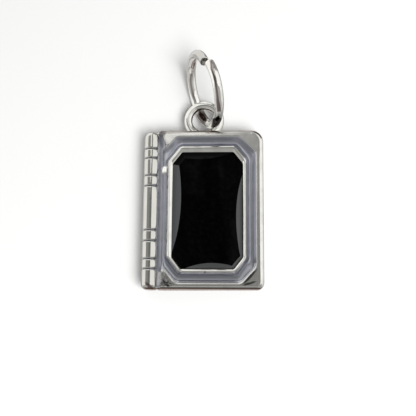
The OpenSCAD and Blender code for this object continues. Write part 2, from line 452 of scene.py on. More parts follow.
def painted_far_reflection(wire, along, side, z):
    """The fainter painted reflection streak on the lower half of the ring."""
    middle = 0.6 * wire.ease(along, 15.5, 17.3) - 0.15
    streak = wire.within((abs(side - middle) - 0.22, 0.1, -0.1), (z, 4.2, 3.6))
    return streak * wire.strip(along, 13.3, 14.2, 16.3, 16.8)


def mix_silver_wire():
    wire = Finish("silver_wire")
    x, y, z = wire.apart(wire.place)
    side = wire.facing()[0]
    along = y + 0.19 * z
    haze = wire.clouds(1.4, 3.0)
    # Painted shade on the part of the ring that runs through the loop.
    from_loop_shade = ((x + 0.15) ** 2.0 + (y - 10.35) ** 2.0 + (z - 1.2) ** 2.0) ** 0.5
    in_loop = wire.within((abs(along - 10.2), 0.5, 0.35), (x, 0.9, 1.2), (z, 2.2, 3.0))
    colour = wire.blend(wire.ease(haze, 0.35, 0.7), BRIGHT_WIRE, HAZY_WIRE)
    for share, shade in (
        (0.85 * wire.within((x, 0.35, 0.1), (z, 5.6, 6.6)), DULL_WIRE),
        # Two brown streaks of painted reflection.
        (0.85 * painted_near_reflection(wire, along, side, z), NEAR_REFLECTION_BROWN),
        (0.7 * painted_far_reflection(wire, along, side, z), FAR_REFLECTION_BROWN),
        # Painted shade inside the loop and beside it.
        (0.95 * wire.ease(from_loop_shade, 2.0, 1.1), SHADE_IN_LOOP_BROWN),
        (in_loop, SHADED_WIRE),
        (0.8 * wire.mark("sawn"), SAWN_WIRE),
    ):
        colour = wire.blend(share, colour, shade)
    relief = wire.bump(wire.clouds(0.9, 2.0, shift=(4, 4, 4)), 0.05)
    relief = wire.bump(wire.clouds(12.0, 3.0), 0.0015, relief)
    roughness = 0.07 + 0.1 * haze
    return wire.surface(base_color=colour, metallic=1.0, roughness=roughness, normal=relief)


silver_wire = mix_silver_wire()
print("silver wire:", len(silver_wire.node_tree.nodes), "nodes")

# %% [markdown]
# ## The onyx
# Onyx for jewellery is dyed a deep even black and polished like glass. A mirror finish
# all over would be the simplest way, but on the real stone the long bevels have a satin
# grey haze and only the table is clear. So the colour and the gloss follow the way that
# the surface faces: a tilted facet gets a haze. Each side's haze also has a brightness of
# its own, which is painted light: the left facet is lighter, the others darker, the head
# facet nearly black, and the right facet lighter next to the bezel, where its shade falls.

# %% Mix the onyx
CLEAR_BLACK, SMOKY_BLACK = (0.0003, 0.0003, 0.0003, 1), (0.001, 0.001, 0.0011, 1)
# Painted light: each side's haze has its own brightness.
FOOT_LIT_HAZE, LEFT_LIT_HAZE = (0.024, 0.0247, 0.0252, 1), (0.046, 0.0475, 0.0495, 1)
RIGHT_LIT_HAZE, HEAD_SHADED_HAZE = (0.036, 0.037, 0.038, 1), (0.003, 0.003, 0.0033, 1)
ONYX_IOR = 1.54


def mix_black_onyx():
    onyx = Finish("black_onyx")
    x = onyx.apart(onyx.place)[0]
    side, end, upwards = onyx.facing()
    facet = onyx.ease(upwards, 0.95, 0.9)
    head = onyx.ease(end, 0.15, 0.28)
    left = onyx.ease(side, -0.3, -0.45)
    black = onyx.blend(onyx.ease(onyx.clouds(2.2, 4.0), 0.4, 0.8), CLEAR_BLACK, SMOKY_BLACK)
    # Painted light and shade: a haze brightness for each side, lighter next to the bezel on the
    # right.
    haze = onyx.blend(left, FOOT_LIT_HAZE, LEFT_LIT_HAZE)
    haze = onyx.blend(onyx.ease(x, 3.95, 4.4), haze, RIGHT_LIT_HAZE)
    haze = onyx.blend(head, haze, HEAD_SHADED_HAZE)
    smears = onyx.ease(onyx.clouds(0.5, 3.0, stretch=(1, 0.6, 1)), 0.45, 0.7)
    gloss = 0.02 + 0.05 * smears + facet * (0.85 - 0.8 * head - 0.65 * left).most(0.02)
    return onyx.surface(
        base_color=onyx.blend(facet, black, haze),
        specular=0.0,
        roughness=0.5,
        coat_weight=gloss.least(1.0),
        coat_ior=ONYX_IOR,
        coat_roughness=0.06,
        normal=onyx.bump(onyx.clouds(0.55, 1.0), 0.02),
    )


black_onyx = mix_black_onyx()
print("black onyx:", len(black_onyx.node_tree.nodes), "nodes")

# %% [markdown]
# ## Finishing a piece
# Each mesh ends in the same way. Doubled points are merged, the faces are turned
# outwards, the millimetres become metres, the piece is hung under the root body, and the
# CAD solid that it stands for is hidden. The same lines could follow each piece, but one
# function can't forget any of them. Weighted normals keep the flat parts of the cover
# flat and its bevels round.


# %% Finish a piece
def round_off(mesh_work, edges, offset, segments):
    """Rounds the given edges of a mesh by a bevel of the given width."""
    bmesh.ops.bevel(
        mesh_work,
        geom=edges,
        offset=offset,
        offset_type="OFFSET",
        segments=segments,
        profile=0.5,
        affect="EDGES",
        material=-1,
    )


def points_in(made):
    """The points among the things that an operator made."""
    return [v for v in made if isinstance(v, bmesh.types.BMVert)]


def finish_piece(mesh_work, name, node, slot, material, weighted=False, crease=None):
    """Turns a mesh into a finished piece that stands for a CAD solid."""
    bmesh.ops.remove_doubles(mesh_work, verts=mesh_work.verts, dist=0.0005)
    bmesh.ops.recalc_face_normals(mesh_work, faces=mesh_work.faces)
    bmesh.ops.scale(mesh_work, vec=(MM, MM, MM), verts=mesh_work.verts)
    mesh = bpy.data.meshes.new(name)
    for face in mesh_work.faces:
        face.smooth = True
    mesh_work.to_mesh(mesh)
    open_edges = sum(1 for e in mesh_work.edges if not e.is_manifold)
    mesh_work.free()
    if crease:
        mesh.set_sharp_from_angle(angle=math.radians(crease))
    piece = bpy.data.objects.new(name, mesh)
    bpy.context.scene.collection.objects.link(piece)
    mesh.materials.append(material)
    if weighted:
        normals = piece.modifiers.new("weighted_normals", "WEIGHTED_NORMAL")
        normals.keep_sharp = True
        normals.weight = 80
    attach(piece, "root")
    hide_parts(node)
    print(name, len(mesh.polygons), "faces,", open_edges, "open edges")


print("made:", finish_piece.__doc__)

# %% [markdown]
# ## Measures of the book
# The relief of the front cover is a set of outlines, one inside the other, at different
# heights. Each is a long octagon with two more corners at the left, where the thin ridge
# beside the hinge starts and ends. Three outlines are set down: the stone, the sunk
# panel and the border of the relief. The others could be listed too, but they are drawn
# out from these three, so a wider bezel is one number.

# %% Set the measures of the book
BOOK_LEFT, BOOK_RIGHT = -6.75, 6.75
BOOK_FOOT, BOOK_HEAD = -9.0, 8.9
BOOK_TOP = 3.4
ROLL_R = 0.85
ROLL_X = BOOK_LEFT + ROLL_R
GROOVE_X = ROLL_X + ROLL_R
COVER_X = -4.5
RIDGE_Z = 3.1
RIDGE_ENDS = (-6.45, 6.6)
CREST_Z = 3.6
STONE_EDGE_Z = 2.97
SEAT_Z = 1.9
STONE_MID = (0.53, -0.26)
STONE_SIZE = (7.94, 13.24)
STONE_CUT = (1.06, 1.35)


def stone_corners():
    """The stone's outline, with two more corners where the hinge's ridge ends."""
    a, b = STONE_CUT
    left, right = (STONE_MID[0] + side * STONE_SIZE[0] / 2 for side in (-1, 1))
    low, high = (STONE_MID[1] + side * STONE_SIZE[1] / 2 for side in (-1, 1))
    head = [(right, low + b), (right, high - b), (right - a, high), (left + a, high)]
    ridge = [(left, high - b), (left, 4.9), (left, -5.3), (left, low + b)]
    return head + ridge + [(left + a, low), (right - a, low)]


STONE = stone_corners()
PANEL = [(5.95, -6.59), (5.95, 6.33), (4.12, 8.16), (-3.0, 8.16), (-4.04, 6.98)]
PANEL += [(-4.4, 6.52), (-4.4, -6.4), (-4.27, -6.9), (-3.0, -8.42), (4.23, -8.42)]
BORDER = [(6.27, -8.12), (6.27, 7.6), (5.45, 8.42), (-4.42, 8.42), (-4.17, 7.05)]
BORDER += [(-4.48, 6.6), (-4.48, -6.45), (-4.46, -7.0), (-4.46, -8.55), (5.87, -8.56)]
RIDGE_CORNERS = (5, 6)
print("stone:", STONE_SIZE, "mm; roll of the spine: radius", ROLL_R, "mm")

# %% Draw an outline outwards and soften its corners
SLANTED, LEFTWARDS = 0.3, -0.95
STEEP_FROM, STEEP_SHARE = -0.2, 0.25


def drawn_out(corners, by, head, hinge):
    """An outline moved outwards, by a little more at the head and at the hinge."""
    steep = STEEP_FROM + STEEP_SHARE * (by - STEEP_FROM)

    def step(n):
        """How far the side that faces along n moves. The slanted foot has a steep wall."""
        slanted_foot = n.y < -SLANTED and abs(n.x) > SLANTED
        moved = steep if by < STEEP_FROM and slanted_foot else by
        return moved + head * max(0, n.y) + hinge * (n.x < LEFTWARDS)

    moved = []
    for i, (x, y) in enumerate(corners):
        (x0, y0), (x1, y1) = corners[i - 1], corners[(i + 1) % len(corners)]
        one = Vector((y - y0, x0 - x)).normalized()
        two = Vector((y1 - y, x - x1)).normalized()
        by_one, by_two = step(one), step(two)
        turn = one.x * two.y - one.y * two.x
        if abs(turn) < 0.001:
            moved.append((x + one.x * by_one, y + one.y * by_one))
        else:
            x += (by_one * two.y - by_two * one.y) / turn
            y += (by_two * one.x - by_one * two.x) / turn
            moved.append((x, y))
    return moved


def softened(corners, z, ridge_z, soft):
    """Points along an outline, with each corner drawn as a small curve."""
    heights = [ridge_z if i in RIDGE_CORNERS else z for i in range(len(corners))]
    places = [Vector((x, y, height)) for (x, y), height in zip(corners, heights)]
    points = []
    for i, corner in enumerate(places):
        before, after = places[i - 1] - corner, places[(i + 1) % len(places)] - corner
        before = before * min(0.45, soft / before.length)
        after = after * min(0.45, soft / after.length)
        for t in (0, 0.25, 0.5, 0.75, 1):
            points.append(corner + before * (1 - t) ** 2 + after * t**2)
    return points


print("points on an outline:", len(softened(STONE, 0, 0, 0.1)))

# %% [markdown]
# ## The relief of the cover
# On the real book a wax model was carved and then cast, so every step of the relief is
# soft. It could be cut out of the block, but then its slopes would be flat. Here it
# starts from the outline of the stone's seat. Its border is extruded from one outline
# to the next, as if a ring of clay were drawn outwards, up the inner wall of the bezel,
# over its crest, down to the panel's floor and up to the cover. Each outline also
# carries the painted shade and the film of its height. Two edges, inside the bezel and on
# its crest, are then rounded by a bevel.

# %% List the outlines of the relief
# An outline, how far it is drawn out, how much more at the head and at the hinge, its
# height, its height at the ridge, the curve of its corners, its painted shade and its film.
RELIEF_STEPS = [
    (STONE, 0.04, 0, 0, SEAT_Z, SEAT_Z, 0.04, 0, 0),
    (STONE, 0.03, 0, 0, 3.0, 3.0, 0.1, 0, 0),
    (STONE, -0.08, 0, 0, 3.36, 3.36, 0.15, 0, 0),
    (STONE, -0.02, 0.06, 0.02, 3.44, 3.44, 0.2, 0, 0),
    (STONE, 0.1, 0.18, 0.05, 3.55, 3.55, 0.25, 0, 0),
    (STONE, 0.2, 0.26, 0.08, CREST_Z, CREST_Z, 0.35, 0, 0),
    (STONE, 0.37, 0.35, 0.14, 3.4, 3.4, 0.4, 0, 0.3),
    (STONE, 0.55, 0.34, 0.1, 3.12, 3.15, 0.45, 0, 0.8),
    (STONE, 0.64, 0.34, 0.08, 2.98, 3.09, 0.5, 0, 1),
    (STONE, 0.73, 0.34, 0.04, 2.92, 3.07, 0.55, 0.15, 1),
    (PANEL, -0.44, 0, 0.33, 2.94, 3.07, 0.4, 0.1, 1),
    (PANEL, -0.36, 0, 0.27, 2.99, 3.075, 0.4, 0, 1),
    (PANEL, -0.2, 0, 0.13, 3.17, 3.08, 0.4, 0, 1),
    (PANEL, -0.13, 0, 0.08, 3.25, 3.085, 0.4, 0, 1),
    (PANEL, -0.04, 0, 0.02, 3.34, 3.09, 0.4, 0, 0.7),
    (PANEL, 0.0, 0, 0, 3.385, 3.095, 0.4, 0, 0.1),
    (PANEL, 0.04, 0, 0, BOOK_TOP, 3.098, 0.4, 0, 0),
    (PANEL, 0.1, 0, -0.05, BOOK_TOP, 3.099, 0.4, 0, 0),
    (BORDER, 0.0, 0, 0, BOOK_TOP, RIDGE_Z, 0.1, 0, 0),
]
BEVELLED_STEPS, BEVEL_WIDTH = (2, 5), 0.045
# At the foot of the panel some outlines are lifted a little or lose their film, some
# turn into a thin line, and two get painted shade. Each is its step, lift, film taken
# off, line and painted shade.
FOOT_LINES = [
    (9, 0, 0, 0, 0.8),
    (10, 0, 0, 0, 0.8),
    (12, 0.12, 0.7, 0, 0),
    (13, -0.05, 0, 0.6, 0),
    (14, 0.04, 0.3, 0, 0),
]
FOOT_FROM = -5.8
print("relief:", len(RELIEF_STEPS), "outlines")


# %% Draw the relief outwards from the stone
def draw_ring(mesh_work, ring, points):
    """Extrudes a closed ring of points to new places. The first ring is closed by a face."""
    if not ring:
        first = [mesh_work.verts.new(p) for p in points]
        mesh_work.faces.new(first)
        return first
    edges = [mesh_work.edges.get((ring[i - 1], ring[i])) for i in range(len(ring))]
    new = set(points_in(bmesh.ops.extrude_edge_only(mesh_work, edges=edges)["geom"]))
    after = []
    for old, point in zip(ring, points):
        vert = next(e.other_vert(old) for e in old.link_edges if e.other_vert(old) in new)
        vert.co = point
        after.append(vert)
    return after


def make_relief():
    relief = bmesh.new()
    painted_shade, film, hollow = (relief.verts.layers.float.new(k) for k in ("painted_shade", "film", "hollow"))
    rings = []
    for corners, by, head, hinge, z, ridge_z, soft, dark, dull in RELIEF_STEPS:
        points = softened(drawn_out(corners, by, head, hinge), z, ridge_z, soft)
        rings.append(draw_ring(relief, rings[-1] if rings else None, points))
        for v in rings[-1]:
            v[painted_shade], v[film] = dark, dull
    for step, lift, bare, line, dark in FOOT_LINES:
        for v in rings[step]:
            share = min(1, max(0, FOOT_FROM - v.co.y))
            v.co.z += lift * share
            v[film] -= bare * share
            v[hollow] = line * share
            # Painted shade in the film at the foot of the panel.
            v[painted_shade] += dark * share
    step_of = {v: i for i, ring in enumerate(rings) for v in ring}
    bends = [
        e
        for e in relief.edges
        if step_of[e.verts[0]] == step_of[e.verts[1]] and step_of[e.verts[0]] in BEVELLED_STEPS
    ]
    round_off(relief, bends, BEVEL_WIDTH, 2)
    return relief


relief = make_relief()
print("relief:", len(relief.faces), "faces after the bevel")

# %% [markdown]
# ## The block of the book
# The covers and the pages are one solid block. It could start as a cube, but its section
# has the soft hollow of the hinge beside the spine. So that section is extruded along
# the book, the corners and the long edges are rounded by bevels, and cuts across the
# block give the hinge the points at which it changes.

# %% Extrude the section of the book
HINGE_SECTION = [(-5.05, 2.84), (-4.86, 2.87), (-4.7, 2.95), (-4.58, 3.03), (COVER_X, 3.09)]
HAIR = 0.01


def extrude_section(block):
    """The section of the book from foot to head, with the hinge in front and behind."""
    front = [(ROLL_X, 2.84)] + HINGE_SECTION + [(COVER_X, BOOK_TOP), (BOOK_RIGHT, BOOK_TOP)]
    rear = [(x, BOOK_TOP - z) for x, z in reversed(front)]
    face = block.faces.new([block.verts.new((x, BOOK_FOOT, z)) for x, z in front + rear])
    made = bmesh.ops.extrude_face_region(block, geom=[face])["geom"]
    along = (0, BOOK_HEAD - BOOK_FOOT, 0)
    bmesh.ops.translate(block, verts=points_in(made), vec=along)


block = bmesh.new()
extrude_section(block)
print("section:", len(block.verts) // 2, "points")

# %% Round its corners and its rim
HEAD_CORNER_R, FOOT_CORNER_R = 1.35, 0.7
FRONT_EDGE_R, BACK_EDGE_R = 0.42, 1.2


def round_block(block):
    """Rounds the two corners of the fore edge, then the rim in front and behind."""

    def edges_where(test):
        return [e for e in block.edges if all(test(v.co) for v in e.verts)]

    def on_rim(edge):
        """The rim runs along both ends and the fore edge, but not along the hinge."""
        a, b = (v.co for v in edge.verts)
        at_ends = all(c.y > BOOK_HEAD - HAIR or c.y < BOOK_FOOT + HAIR for c in (a, b))
        return max(a.x, b.x) > COVER_X + HAIR and ((a + b).x / 2 > 5.5 or at_ends)

    round_off(block, edges_where(lambda c: c.x > 6.7 and c.y > 8.8), HEAD_CORNER_R, 8)
    round_off(block, edges_where(lambda c: c.x > 6.7 and c.y < -8.8), FOOT_CORNER_R, 6)
    for z, radius in ((0, BACK_EDGE_R), (BOOK_TOP, FRONT_EDGE_R)):
        level = edges_where(lambda c: abs(c.z - z) < HAIR)
        round_off(block, [e for e in level if on_rim(e)], radius, 5)


round_block(block)
print("block:", len(block.faces), "faces after the bevels")

# %% Shape the hinge
STATIONS = (-8.7, -6.95, RIDGE_ENDS[0], 0, RIDGE_ENDS[1], 7.08, 7.8, 8.6)
UNDER_ROLL = 8.2
FOOT_RISE, HEAD_SHIFT = 0.25, 0.3


def shape_hinge(block):
    """Lowers the ridge, and lets the hinge rise at its foot and turn at its head."""
    for y in STATIONS:
        everything = block.verts[:] + block.edges[:] + block.faces[:]
        bmesh.ops.bisect_plane(block, geom=everything, plane_co=(0, y, 0), plane_no=(0, 1, 0))
    for v in block.verts:
        x, y, z = v.co
        across = (x - GROOVE_X) / (COVER_X - GROOVE_X)
        on_ridge = RIDGE_ENDS[0] - 0.1 < y < RIDGE_ENDS[1] + 0.1
        if abs(x - COVER_X) < HAIR and z > 3.3 and on_ridge:
            v.co.z = RIDGE_Z
        if x < ROLL_X + HAIR and abs(y) > 8.8:
            v.co.y = math.copysign(UNDER_ROLL, y)
        if y < -6.9 and GROOVE_X + 0.05 < x < COVER_X + HAIR and 2 < z < 3.3:
            v.co.z = z + FOOT_RISE * across
        if y > 7 and GROOVE_X - HAIR < x < COVER_X + HAIR and z > 2:
            v.co.x = x + HEAD_SHIFT * (1 - (y - 7.08)) * across


shape_hinge(block)
print("block:", len(block.faces), "faces after the cuts")

# %% [markdown]
# ## The front of the book
# The relief and the block have to become one skin. A boolean could join them, but it
# leaves thin slivers. So the block's flat top is taken off and the relief is set in its
# place. What is left between the two borders is flat silver, which one fill closes.


# %% Join the relief to the block
def make_cover(block, relief):
    def on_lid(face):
        high = face.calc_center_median().z > 3.2
        return face.normal.z > 0.9 and high and face.calc_area() > 0.5

    lid = [f for f in block.faces if on_lid(f)]
    bmesh.ops.delete(block, geom=lid, context="FACES")
    part = bpy.data.meshes.new("relief")
    relief.to_mesh(part)
    relief.free()
    block.from_mesh(part)
    bpy.data.meshes.remove(part)
    rim = [e for e in block.edges if e.is_boundary]
    print("faces taken off:", len(lid), "- edges of the gap:", len(rim))
    bmesh.ops.triangle_fill(
        block, use_beauty=True, use_dissolve=False, edges=rim, normal=(0, 0, 1)
    )
    return block


cover = make_cover(block, relief)
finish_piece(cover, "book_cover", "silver_book", "cast_silver", cast_silver, weighted=True)

# %% [markdown]
# ## The spine
# The spine is a rolled edge with eight thin grooves across it, in pairs like the bands
# of a bound book. It could be a cylinder with rings cut into it, but its top slopes more
# steeply towards the hinge and its ends close in a soft dome. So one section is extruded
# from station to station, and at a groove it shrinks. The grooves open wider towards the
# hinge, as a file leaves them, and the mesh carries their depth as the mark "hollow".

# %% Draw the section of the spine
ROLL_SIDES = 14
APEX_X = 0.03
CHEEK_R = 1.1
CHEEK_SLOPES = (39, 33, 26, 18, 9)


def roll_section():
    """Points round the roll from the hinge over the top, as (x, z, height of the middle)."""
    cheek = [(1.0, 0.0), (1.0, 0.35), (0.985, 0.58)]
    for slope in CHEEK_SLOPES:
        a = math.radians(slope)
        across = (APEX_X + CHEEK_R * math.sin(a)) / ROLL_R
        cheek.append((across, 1 - CHEEK_R * (1 - math.cos(a)) / ROLL_R))
    points = [(c, s, BOOK_TOP - ROLL_R) for c, s in cheek]
    for z_mid, first in ((BOOK_TOP - ROLL_R, ROLL_SIDES // 2), (ROLL_R, 0)):
        for i in range(first, ROLL_SIDES + 1):
            angle = math.pi * i / ROLL_SIDES + (0 if first else math.pi)
            c, s = math.cos(angle), math.sin(angle)
            points.append((c + APEX_X * s**2 / ROLL_R, s, z_mid))
    return points


print("section of the spine:", len(roll_section()), "points")

# %% Place the grooves
GROOVES_AT = (2.5, 3.7, 5.7, 6.8)
SPINE_HEAD = 8.82


def groove_at(y, side):
    """How deep the nearest groove is at y, for a side from -1, left, to 1, the hinge."""
    gap = min(abs(abs(y) - g) for g in GROOVES_AT)
    width = 0.12 + 0.1 * max(0, side) ** 2 + 0.22 * min(1, max(0, side)) ** 8
    return max(0, 1 - gap / width)


def stations_along():
    """Where the section is repeated: closely at the grooves and at both ends."""
    ends = [0, 0.01, 0.04, 0.09, 0.16, 0.26, 0.38, 0.52, 0.68, 0.86]
    marks = {0.0, 1.0, 1.8, 3.1, 4.4, 5.1, 6.25}
    for g in GROOVES_AT:
        marks |= {g + s * d for s in (-1, 1) for d in (0, 0.03, 0.06, 0.1, 0.15, 0.21, 0.29)}
    marks = {s * m for m in marks for s in (-1, 1)}
    marks |= {SPINE_HEAD - e for e in ends} | {BOOK_FOOT + e for e in ends}
    return sorted({round(m, 4) for m in marks})


print("sections along the spine:", len(stations_along()))

# %% Make the spine
GROOVE_DEPTH = 0.15
HEAD_TURN, FOOT_TURN = (0.82, 0.42), (0.42, 0.42)


def inset(turn, end):
    """How far a dome of the radius turn has closed at the distance end from its tip."""
    return turn - math.sqrt(max(0, turn**2 - max(0, turn - end) ** 2))


def make_spine():
    spine = bmesh.new()
    hollow = spine.verts.layers.float.new("hollow")
    section = roll_section()
    ring = None
    for y in stations_along():
        at_head = y > 0
        end = SPINE_HEAD - y if at_head else y - BOOK_FOOT
        inset_x, inset_z = (inset(turn, end) for turn in (HEAD_TURN if at_head else FOOT_TURN))
        squash = 1 - inset_z / (BOOK_TOP / 2)
        depths = [groove_at(y, c) for c, _, _ in section]
        points = []
        for (c, s, z_mid), depth in zip(section, depths):
            radius = ROLL_R - GROOVE_DEPTH * depth
            x = ROLL_X + c * (radius - min(inset_x, radius - 0.02))
            z = BOOK_TOP / 2 + (z_mid + s * radius - BOOK_TOP / 2) * squash
            points.append(Vector((x, y, z)))
        ring = draw_ring(spine, ring, points)
        for v, depth in zip(ring, depths):
            v[hollow] = depth
    spine.faces.new(ring)
    return spine


finish_piece(make_spine(), "book_spine", "silver_book", "cast_silver", cast_silver)

# %% [markdown]
# ## The loop
# The loop is a ring of round wire, laid flat and soldered to the head of the book. A
# ready torus would do for a ring that hangs free. Here a circle is spun all the way
# round, because its points can then be pushed out where the solder runs up the wire.

# %% Make the loop
LOOP_R, LOOP_WIRE_R = 1.84, 0.47
LOOP_MID = Vector((0, 10.5, 1.75))
SOLDER_RISE = 0.75
LEFT_FLARE, RIGHT_FLARE = 0.14, 0.3


def spin_circle(mesh_work, place, radius, segments, **spin):
    """Spins an upright circle of wire round the Z axis, and returns its first points."""
    upright = place @ Matrix.Rotation(math.pi / 2, 4, "X")
    circle = bmesh.ops.create_circle(mesh_work, segments=segments, radius=radius, matrix=upright)
    wire = circle["verts"]
    edges = list({e for v in wire for e in v.link_edges})
    bmesh.ops.spin(mesh_work, geom=wire + edges, axis=(0, 0, 1), **spin)
    return wire


def make_loop():
    loop = bmesh.new()
    place = Matrix.Translation(LOOP_MID + Vector((LOOP_R, 0, 0)))
    whole_turn = {"cent": LOOP_MID, "angle": 2 * math.pi, "steps": 72, "use_merge": True}
    spin_circle(loop, place, LOOP_WIRE_R, 24, **whole_turn)
    for v in loop.verts:
        outwards = Vector((v.co.x - LOOP_MID.x, v.co.y - LOOP_MID.y, 0)).normalized()
        core = outwards * LOOP_R + LOOP_MID
        near = max(0, 1 - max(0, core.y - BOOK_HEAD - 0.05) / SOLDER_RISE)
        flare = RIGHT_FLARE if core.x > 0 else LEFT_FLARE
        v.co = core + (v.co - core) * (1 + flare * near**2)
    return loop


finish_piece(make_loop(), "hanging_loop", "silver_book", "cast_silver", cast_silver)

# %% [markdown]
# ## A bead of solder
# A small bead of solder sits on the ridge beside the hinge, near the head. The tool that
# pressed it down has burnished it bright. It could be painted on as a white mark, but
# then it wouldn't catch the light from other sides. It is a low dome that leans a little
# to the right, so it is made from a sphere that is flattened and turned.

# %% Make the bead
BEAD_AT = (-4.3, 4.25, 3.17)
BEAD_HALF_SIZE = (0.42, 0.5, 0.07)
BEAD_TURN, BEAD_LEAN = math.radians(-20), math.radians(21)


def make_bead():
    bead = bmesh.new()
    bmesh.ops.create_uvsphere(bead, u_segments=24, v_segments=14, radius=1)
    lean = Matrix.Rotation(BEAD_TURN, 4, "Z") @ Matrix.Rotation(BEAD_LEAN, 4, "Y")
    place = Matrix.Translation(BEAD_AT) @ lean @ Matrix.Diagonal((*BEAD_HALF_SIZE, 1))
    bmesh.ops.transform(bead, matrix=place, verts=bead.verts)
    return bead


finish_piece(make_bead(), "solder_bead", "silver_book", "cast_silver", silver_wire)

# %% [markdown]
# ## The stone
# The stone is cut as a long octagon. Its table is slightly crowned and eight bevels run
# down to its edge. The facets could be built corner by corner, but their upper edges
# curve, because a flat bevel meets a crowned table. So a crowned grid is extruded into a
# block, and flat planes cut the walls and the bevels, as a stone cutter's lap does.

# %% Cut the onyx
STONE_WALL = 1.05
CROWN_RISE = 0.78
CROWN_R = (18, 50)
CROWN_MID = 0.25
CROWN_TWIST, TWIST_MID = 0.0072, 0.8
BEVEL_SLOPE = math.radians(30)


def cut_stone(stone, point, normal):
    """Takes off all that lies outside a plane, and closes the cut."""
    cut = bmesh.ops.bisect_plane(
        stone,
        geom=stone.verts[:] + stone.edges[:] + stone.faces[:],
        plane_co=point,
        plane_no=normal,
        clear_outer=True,
    )["geom_cut"]
    edges = [e for e in cut if isinstance(e, bmesh.types.BMEdge)]
    bmesh.ops.contextual_create(stone, geom=edges)


def make_crowned_block():
    """A block a little larger than the stone, under a crowned and twisted table."""
    stone = bmesh.new()
    width, length = STONE_SIZE
    bmesh.ops.create_grid(stone, x_segments=28, y_segments=44, size=0.5)
    bmesh.ops.scale(stone, vec=(width + 1, length + 1, 1), verts=stone.verts)
    for v in stone.verts:
        x, y = v.co.x, v.co.y
        drop = (x + CROWN_MID) ** 2 / (2 * CROWN_R[0]) + y**2 / (2 * CROWN_R[1])
        drop += CROWN_TWIST * (x - TWIST_MID) * y
        v.co = (x + STONE_MID[0], y + STONE_MID[1], STONE_EDGE_Z + CROWN_RISE - drop)
    made = bmesh.ops.extrude_face_region(stone, geom=stone.faces[:])["geom"]
    for v in points_in(made):
        v.co.z = STONE_EDGE_Z - STONE_WALL
    return stone


def make_stone():
    stone = make_crowned_block()
    a, b = STONE_SIZE[0] / 2, STONE_SIZE[1] / 2
    cut_x, cut_y = STONE_CUT
    slant = Vector((cut_y, cut_x)).normalized()
    sides = [((a, 0), (1, 0)), ((-a, 0), (-1, 0)), ((0, b), (0, 1)), ((0, -b), (0, -1))]
    for sx in (-1, 1):
        for sy in (-1, 1):
            sides.append(((sx * a, sy * (b - cut_y)), (sx * slant.x, sy * slant.y)))
    flat, rise = math.sin(BEVEL_SLOPE), math.cos(BEVEL_SLOPE)
    for (px, py), (nx, ny) in sides:
        point = (STONE_MID[0] + px, STONE_MID[1] + py, STONE_EDGE_Z)
        cut_stone(stone, point, (nx, ny, 0))
        cut_stone(stone, point, (nx * flat, ny * flat, rise))
    return stone


finish_piece(make_stone(), "onyx", "onyx_stone", "black_onyx", black_onyx, crease=8)

# %% [markdown]
# ## The jump ring
# A jump ring is one turn of a wire that was wound round a rod and sawn through, so its
# two ends stand a little out of line. A closed ring with a slot in it would look too
# neat. So a small circle is spun almost all the way round with a slight drift along the
# axis, each sawn end is capped and gets a worn rim, and the last part of each end is
# bent in, as the pliers leave it.

# %% Spin the wire
RING_R, WIRE_R = 3.95, 0.52
CUT_AT, CUT_GAP = math.radians(180 - 28), math.radians(9)
DRIFT, DRIFT_START = 0.3, 0.1
SPIN_STEPS = 150

ring = bmesh.new()
ring.verts.layers.float.new("sawn")
arm = Matrix.Translation((RING_R, 0, DRIFT_START))
first_end = spin_circle(
    ring,
    Matrix.Rotation(CUT_AT + CUT_GAP / 2, 4, "Z") @ arm,
    WIRE_R,
    28,
    dvec=(0, 0, -DRIFT / SPIN_STEPS),
    angle=2 * math.pi - CUT_GAP,
    steps=SPIN_STEPS,
)
print("jump ring:", len(ring.verts), "points")

# %% Close and bend its ends
NEAR_BEND, FAR_BEND = 0.15, 0.36
BENT_OVER = math.radians(40)
RIM_R = 0.06


def close_ends(ring, wire):
    """Caps both ends, rounds their rims, and marks the flat of each cap as sawn."""
    sawn = ring.verts.layers.float.get("sawn")
    ends = [e for e in ring.edges if e.is_boundary]
    first = [e for e in ends if e.verts[0] in wire]
    last = [e for e in ends if e.verts[0] not in wire]
    caps = bmesh.ops.contextual_create(ring, geom=first)["faces"]
    caps += bmesh.ops.contextual_create(ring, geom=last)["faces"]
    round_off(ring, list({e for f in caps for e in f.edges}), RIM_R, 3)
    for face in ring.faces:
        if len(face.verts) > 12:
            for v in face.verts:
                v[sawn] = 1.0


def bend_ends(ring):
    """Bends the near and the far end of the wire towards the ring's middle."""
    for v in ring.verts:
        along = (math.atan2(v.co.y, v.co.x) - CUT_AT) % (2 * math.pi)
        bend = NEAR_BEND * max(0, 1 - along / BENT_OVER) ** 2
        bend += FAR_BEND * max(0, 1 - (2 * math.pi - along) / BENT_OVER) ** 2
        v.co -= bend * Vector((v.co.x, v.co.y, 0)).normalized()


close_ends(ring, first_end)
bend_ends(ring)
print("jump ring:", len(ring.faces), "faces with its ends")

# %% Set the jump ring in place
RING_X, RING_Y, ABOVE_CARD = 0.19, 13.34, 0.02
RING_LEAN, RING_TURN = math.radians(17.1), math.radians(18)

middle = Vector((RING_X, RING_Y, ABOVE_CARD + WIRE_R + RING_R * math.cos(RING_LEAN)))
lean = Matrix.Rotation(math.pi / 2 + RING_LEAN, 4, "Y")
place = Matrix.Translation(middle) @ Matrix.Rotation(RING_TURN, 4, "Z") @ lean
bmesh.ops.transform(ring, matrix=place, verts=ring.verts)
finish_piece(ring, "jump_ring", "jump_ring", "silver_wire", silver_wire, crease=50)

# %% [markdown]
# ## The card
# The charm lies on white card. A curved backdrop would show a soft horizon from low
# down, but the photo looks at the card from above, so one large plain sheet is enough.
# It is a mid grey that the lamp brings up to white, with a faint grain.

# %% Lay the card
CARD_HALF_SIZE = 0.6
DARK_GRAIN, LIGHT_GRAIN = (0.49, 0.49, 0.49, 1), (0.5, 0.5, 0.5, 1)


